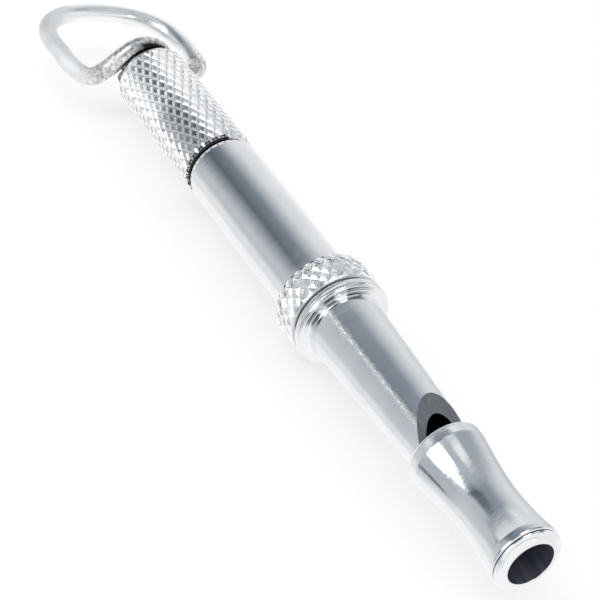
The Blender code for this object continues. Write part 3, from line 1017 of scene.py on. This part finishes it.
def buildCap():
    near, far, outer = nodeSizes("end_cap")
    floor = outer - cap["depth"]
    shadowEnd = near + cap["shadowed"]
    corners = [
        (cap["socketFloorAt"], 0.0),
        (cap["socketFloorAt"], cap["socket"]),
        (near, cap["socket"]),
        (near, floor - cap["bevel"], cap["nearEdge"]),
        (near + cap["bevel"], floor),
        (shadowEnd, floor),
        (far - cap["chamfer"] + cap["depth"], floor, cap["farEdge"]),
        (far, outer - cap["chamfer"], cap["farEdge"]),
        (far, cap["studHole"]),
        (cap["studFloorAt"], cap["studHole"]),
        (cap["studFloorAt"], 0.0),
    ]
    finish = makeKnurlFinish("capKnurl", capLook, floor, outer)
    core = turnMesh("knurledCap", corners, cap["steps"])
    rows = int((far - near) / cap["rowStep"])
    spare = (far - near - (rows - 1) * cap["rowStep"]) / 2
    studs = knurlStuds("capKnurl", [(near + spare, floor), (far - spare, floor)], rows, cap, finish)
    trimStuds(studs, near, far, lambda at: outer - max(cap["chamfer"] - min(at - near, far - at), 0.0))
    piece = studdedPiece("knurledCap", core, studs, cap, [finish, shadeSteel])
    shadowTop = floor + 0.2 * hair
    litFrom = axisY - cap["litSide"] * floor

    def onEnd(at, reach, face):
        return abs(face.normal.x) > cap["endMatch"] and not near + 2 * hair < at < far - 2 * hair

    # both end faces and the near groove get painted shade, apart from the lit side of the near end
    paintFaces(piece, 1, onEnd)
    paintFaces(piece, 1, lambda at, reach, face: at < shadowEnd and cap["socket"] < reach < shadowTop)
    paintFaces(piece, 0, lambda at, reach, face: at < shadowEnd and face.center.y > litFrom)
    dress(piece, "tuner", "knurled_plate", "end_cap")


buildCap()
print("end cap knurled")

# Bail stud: shank in the cap and a flat rounded head
stud = inMm(
    shank=1.05,
    shankEdge=0.05,
    head=2.4,
    headThick=0.7,
    headEdge=0.1,
    headRound=0.22,
)
stud.update(steps=96, crease=40)


def buildStud():
    near, far = nodeSizes("bail_stud")[:2]
    headAt = far - stud["headThick"]
    corners = [
        (near, 0.0),
        (near, stud["shank"]),
        (headAt, stud["shank"], stud["shankEdge"]),
        (headAt, stud["head"], stud["headEdge"]),
        (far, stud["head"], stud["headRound"]),
        (far, 0.0),
    ]
    piece = turnedPiece("swivelStud", corners, stud, [plate])
    dress(piece, "tuner", "plated_metal", "bail_stud")


buildStud()

# Wire bail: one tail over the stud, an elbow, the loop, an elbow and a tail under the stud
bail = inMm(
    wire=0.996,
    ringAt=80.89,
    loopEndAt=92.69,
    ring=3.2,
    underRing=2.35,
    halfWidth=8.45,
    halfLength=6.9,
)
bail.update(
    squareness=2.3,
    topTail=(22.0, 150.0),
    underTail=(200.0, 315.0),
    tailSteps=4,
    loopDegrees=(192, 168, 146, 124, 106, 90, 74, 56, 34, 12),
    # each bend in mm: drop below the loop, inset from its side, reach past the ring
    leftElbow=((0.35, 3.8, 0.0), (0.75, 2.15, -0.2), (0.45, 0.7, 1.2)),
    rightElbow=((0.55, 1.85, 0.0), (0.15, 0.45, 0.6), (0.0, 0.0, 2.3)),
    pathSteps=14,
    sides=32,
    weld=1e-7,
    crease=50,
)


def bailRoute():
    # points are (height over the axis, side from y = 0, station)
    ringAt = bail["ringAt"]

    def tail(side, radius, span):
        angles = fan(*span, bail["tailSteps"])
        return [(radius * math.sin(angle), side + radius * math.cos(angle), ringAt) for angle in angles]

    def elbow(sign, bends):
        wide = bail["halfWidth"]
        return [(-drop * mm, sign * (wide - inset * mm), ringAt + past * mm) for drop, inset, past in bends]

    def loopPoint(degrees):
        angle = math.radians(degrees)
        power = 2 / bail["squareness"]
        side = math.copysign(abs(math.cos(angle)) ** power, math.cos(angle))
        along = math.copysign(abs(math.sin(angle)) ** power, math.sin(angle))
        middle = bail["loopEndAt"] - bail["halfLength"]
        return (0.0, bail["halfWidth"] * side, middle + bail["halfLength"] * along)

    route = tail(0.0, bail["ring"], bail["topTail"]) + elbow(-1, bail["leftElbow"])
    route += [loopPoint(degrees) for degrees in bail["loopDegrees"]]
    route += reversed(tail(axisY, bail["underRing"], bail["underTail"]) + elbow(1, bail["rightElbow"]))
    return [Vector((mouthX - at, side, axisZ + up)) for up, side, at in route]


def buildWireTree():
    sockets = {"wire": "Float", "sides": "Int", "finish": "Material"}
    tree, names, given = startTree("bentWire", sockets)
    inputs = {"Resolution": given["sides"], "Radius": given["wire"]}
    section = addNode(tree, "GeometryNodeCurvePrimitiveCircle", inputs)
    inputs = {"Curve": given["Geometry"], "Profile Curve": section.outputs["Curve"], "Fill Caps": True}
    sweep = addNode(tree, "GeometryNodeCurveToMesh", inputs)
    endTree(sweep.outputs["Mesh"], given["finish"])
    return tree, names


def buildBail():
    route = bailRoute()
    path = bpy.data.curves.new("bailPath", "CURVE")
    path.dimensions = "3D"
    path.resolution_u = bail["pathSteps"]
    line = path.splines.new("BEZIER")
    line.bezier_points.add(len(route) - 1)
    for knot, place in zip(line.bezier_points, route):
        knot.co = place
        knot.handle_left_type = "AUTO"
        knot.handle_right_type = "AUTO"
    mesh = runTree(path, *buildWireTree(), dict(bail, finish=wirePlate))
    work = bmesh.new()
    work.from_mesh(mesh)
    bmesh.ops.remove_doubles(work, verts=work.verts, dist=bail["weld"])
    piece = newPiece("bentWireBail", writeMesh(work, mesh), [wirePlate])
    smoothPiece(piece, bail["crease"])
    dress(piece, "bail", "plated_wire", "wire_bail")


buildBail()
print("stud and bail made")

# Inside pieces keep their CAD shape and get a finish
insideFinish = {"windway_plug": brass, "threaded_stem": brass, "piston": brass, "piston_seal": sealRubber}
for node, finish in insideFinish.items():
    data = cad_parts[node].data
    data.materials.clear()
    data.materials.append(finish)
print("inside pieces finished")

# Studio: pale floor, white surround, a soft lamp, and a curved reflector that only mirrors see
studio = {
    "floorSize": 3.0,
    "floorColour": (0.42, 0.42, 0.42),
    "floorRough": 0.9,
    "floorSheen": 0.1,
    "floorLift": 0.55,
    "surround": 1.0,
    "lampAt": (-0.053, -0.2317, 0.2508),
    "lampAcross": (0.12, -0.03, 0.0092),
    "lampUp": (0.026, 0.2658, 0.26),
    "lampSize": (0.124, 0.373),
    "lampPower": 0.26,
    "coolness": 0.26,
    "tentRadius": 0.45,
    "tentSpan": (-45, 245),
    "tentAlong": (-1.4, 0.7),
    "tentSteps": 96,
    "cardSteps": 24,
    # shades by angle round the axis, from the rear end to the front, each from its own place along the axis
    "rings": (
        (None, {-45: 1.0, 36: 0.9, 70: 0.35, 170: 0.35, 206: 0.9, 245: 1.0}),
        ((-0.53, -0.505), {95: 1.0, 122: 0.1, 150: 0.1, 166: 0.3, 198: 0.95, 245: 1.0}),
        ((-0.476, -0.462), {75: 1.0, 112: 0.15, 150: 0.05, 190: 0.25, 235: 1.0}),
        (
            (-0.447, -0.44),
            {-15: 1.0, 20: 0.85, 60: 0.75, 105: 0.25, 140: 0.15, 185: 0.6, 205: 0.6, 220: 0.85},
        ),
        (
            (-0.345, -0.333),
            {-45: 0.95, -5: 0.7, 30: 0.8, 60: 0.65, 95: 0.3, 140: 0.25, 154: 0.5, 210: 0.65, 224: 0.85},
        ),
        ((-0.205, -0.15), {10: 0.65, 48: 0.4, 76: 0.4, 120: 0.5, 215: 0.5, 245: 0.9}),
        (
            (-0.115, -0.09),
            {-45: 1.0, 30: 0.95, 82: 0.5, 114: 0.5, 134: 1.0, 176: 1.0, 188: 0.55, 208: 0.55, 224: 0.9},
        ),
        ((0.24, 0.33), {-45: 0.95, 20: 0.9, 60: 0.7, 98: 0.35, 130: 0.2, 160: 0.55, 200: 0.65, 245: 0.95}),
    ),
    # cards before the reflector: two ends (place along the axis, low and high angle),
    # distance from the axis, shade, and the share of each side that fades
    "cards": {
        "wedgeCard": ((-0.118, 136, 173), (-0.153, 152, 158), 0.43, 2.6, 0.14),
        "burstCard": ((0.03, 131, 176), (-0.118, 131, 176), 0.43, 3.0, 0.03),
        "patchCard": ((-0.11, 82, 118), (-0.133, 86, 112), 0.43, 0.96, 0.25),
        "lineCard": ((-0.124, 206, 221), (-0.16, 210, 219), 0.43, 0.14, 0.35),
        "loopDark": ((0.2, 42, 60), (-0.1, 42, 60), 0.43, 0.26, 0.3),
        "edgeCard": ((-0.185, -45, 6), (-0.262, -45, 6), 0.43, 0.64, 0.05),
        "sparkleCard": ((0.012, 146, 155), (-0.007, 146, 155), 0.03, 0.9, 0.2),
        "waistCard": ((-0.05, 70, 178), (-0.0645, 70, 178), 0.092, 1.0, 0.12),
        "upperWaistCard": ((0.0139, 74, 174), (0.0166, 74, 174), 0.03, 0.8, 0.16),
        "middleWaistCard": ((0.0166, 80, 168), (0.0189, 80, 168), 0.03, 0.44, 0.25),
        "rightWaistCard": ((0.0139, 46, 110), (0.0195, 46, 102), 0.0294, 0.9, 0.48),
        "waistDark": ((0.0111, 124, 164), (0.0036, 110, 154), 0.06, 0.11, 0.3),
        "lowerWaistDark": ((0.0228, 112, 156), (0.0195, 120, 153), 0.03, 0.16, 0.3),
        "collarDark": ((0.0229, 84, 148), (0.0215, 84, 148), 0.02, 0.22, 0.25),
        "lipCard": ((0.0575, 30, 200), (0.0503, 30, 200), 0.012, 0.97, 0.05),
        "rightBurst": ((0.075, 86, 110), (0.0175, 86, 110), 0.06, 2.5, 0.1),
        "leftBurst": ((0.075, 148, 168), (0.0175, 148, 168), 0.06, 2.0, 0.15),
        "rightDark": ((0.055, 40, 82), (0.0175, 40, 82), 0.06, 0.26, 0.3),
        "middleDark": ((0.075, 114, 144), (0.0175, 114, 144), 0.06, 0.26, 0.15),
        "leftDark": ((0.05, 173, 194), (0.0175, 173, 194), 0.06, 0.12, 0.25),
    },
}
white = (1.0, 1.0, 1.0, 1.0)


def coolGrey(shade):
    lean = studio["coolness"] * max(1 - shade, 0.0) ** 2
    return (shade * (1 - lean), shade, shade * (1 + lean))


def buildSurround():
    world = bpy.data.worlds.new("studioSurround")
    bpy.context.scene.world = world
    world.use_nodes = True
    feed(world.node_tree.nodes["Background"], {"Color": white, "Strength": studio["surround"]})


def buildFloor():
    half = studio["floorSize"] / 2
    mesh = bpy.data.meshes.new("paleFloor")
    corners = [(-half, -half, 0), (half, -half, 0), (half, half, 0), (-half, half, 0)]
    mesh.from_pydata(corners, [], [(0, 1, 2, 3)])
    finish, tree, shader = newFinish("paleFloor")
    # the lift is for what is seen, and lights nothing
    path = addNode(tree, "ShaderNodeLightPath").outputs
    seen = mathNode("MAXIMUM", path["Is Camera Ray"], path["Is Glossy Ray"])
    seen = mathNode("MAXIMUM", seen, path["Is Transmission Ray"])
    inputs = {
        "Base Color": (*studio["floorColour"], 1.0),
        "Roughness": studio["floorRough"],
        "Specular IOR Level": studio["floorSheen"],
        "Emission Color": white,
        "Emission Strength": times(seen, studio["floorLift"]),
    }
    feed(shader, inputs)
    floor = newPiece("paleFloor", mesh, [finish])
    floor.visible_glossy = False


def reflectorMesh(name, ends, radius, count):
    # each end is (place along the axis, low angle, high angle)
    verts = []
    sweep = []
    for k in range(count + 1):
        share = k / count
        for x, low, high in ends:
            angle = math.radians(low + (high - low) * share)
            verts.append((x, axisY + radius * math.cos(angle), axisZ + radius * math.sin(angle)))
            sweep.append(share)
    faces = [(2 * k, 2 * k + 1, 2 * k + 3, 2 * k + 2) for k in range(count)]
    mesh = bpy.data.meshes.new(name)
    mesh.from_pydata(verts, [], faces)
    mesh.attributes.new("sweep", "FLOAT", "POINT").data.foreach_set("value", sweep)
    return mesh


def newGlow(name):
    finish, tree, shader = newFinish(name)
    tree.nodes.remove(shader)
    glow = addNode(tree, "ShaderNodeEmission")
    feed(tree.nodes["Material Output"], {"Surface": glow.outputs["Emission"]})
    sweep = addNode(tree, "ShaderNodeAttribute", attribute_name="sweep").outputs["Fac"]
    return finish, tree, glow, sweep


def mirrorsOnly(mesh, finish):
    card = newPiece(mesh.name, mesh, [finish])
    for ray in ("camera", "diffuse", "shadow", "transmission"):
        setattr(card, "visible_" + ray, False)


def buildTent():
    low, high = studio["tentSpan"]
    ends = [(x, low, high) for x in studio["tentAlong"]]
    finish, tree, glow, sweep = newGlow("reflectorShade")
    along = splitPlace(tree)[0]
    whole = None
    for span, shades in studio["rings"]:
        places = [(degrees - low) / (high - low) for degrees in shades]
        ring = addRamp(sweep, places, [coolGrey(shade) for shade in shades.values()])
        whole = mixColours(addRange(along, *span), whole, ring) if span else ring
    feed(glow, {"Color": whole})
    mirrorsOnly(reflectorMesh("curvedReflector", ends, studio["tentRadius"], studio["tentSteps"]), finish)


def buildCards():
    for name, (firstEnd, lastEnd, radius, shade, fade) in studio["cards"].items():
        finish, tree, glow, sweep = newGlow(name)
        feed(glow, {"Color": (*coolGrey(shade), 1.0)})
        solid = addRamp(sweep, (0.0, fade, 1 - fade, 1.0), [(value,) * 3 for value in (0, 1, 1, 0)])
        clear = addNode(tree, "ShaderNodeBsdfTransparent").outputs["BSDF"]
        blend = addNode(tree, "ShaderNodeMixShader", {"Fac": solid, 1: clear, 2: glow.outputs["Emission"]})
        feed(tree.nodes["Material Output"], {"Surface": blend.outputs["Shader"]})
        mirrorsOnly(reflectorMesh(name, (firstEnd, lastEnd), radius, studio["cardSteps"]), finish)


def buildLamp():
    data = bpy.data.lights.new("softBox", "AREA")
    data.shape = "RECTANGLE"
    data.size, data.size_y = studio["lampSize"]
    data.energy = studio["lampPower"]
    lamp = linkedObject("softBox", data)
    across = Vector(studio["lampAcross"]).normalized()
    aim(lamp, studio["lampAt"], across, across.cross(Vector(studio["lampUp"])).normalized())
    lamp.visible_glossy = False


buildSurround()
buildFloor()
buildTent()
buildCards()
buildLamp()
bpy.context.scene.view_settings.view_transform = "Standard"
print("studio set")
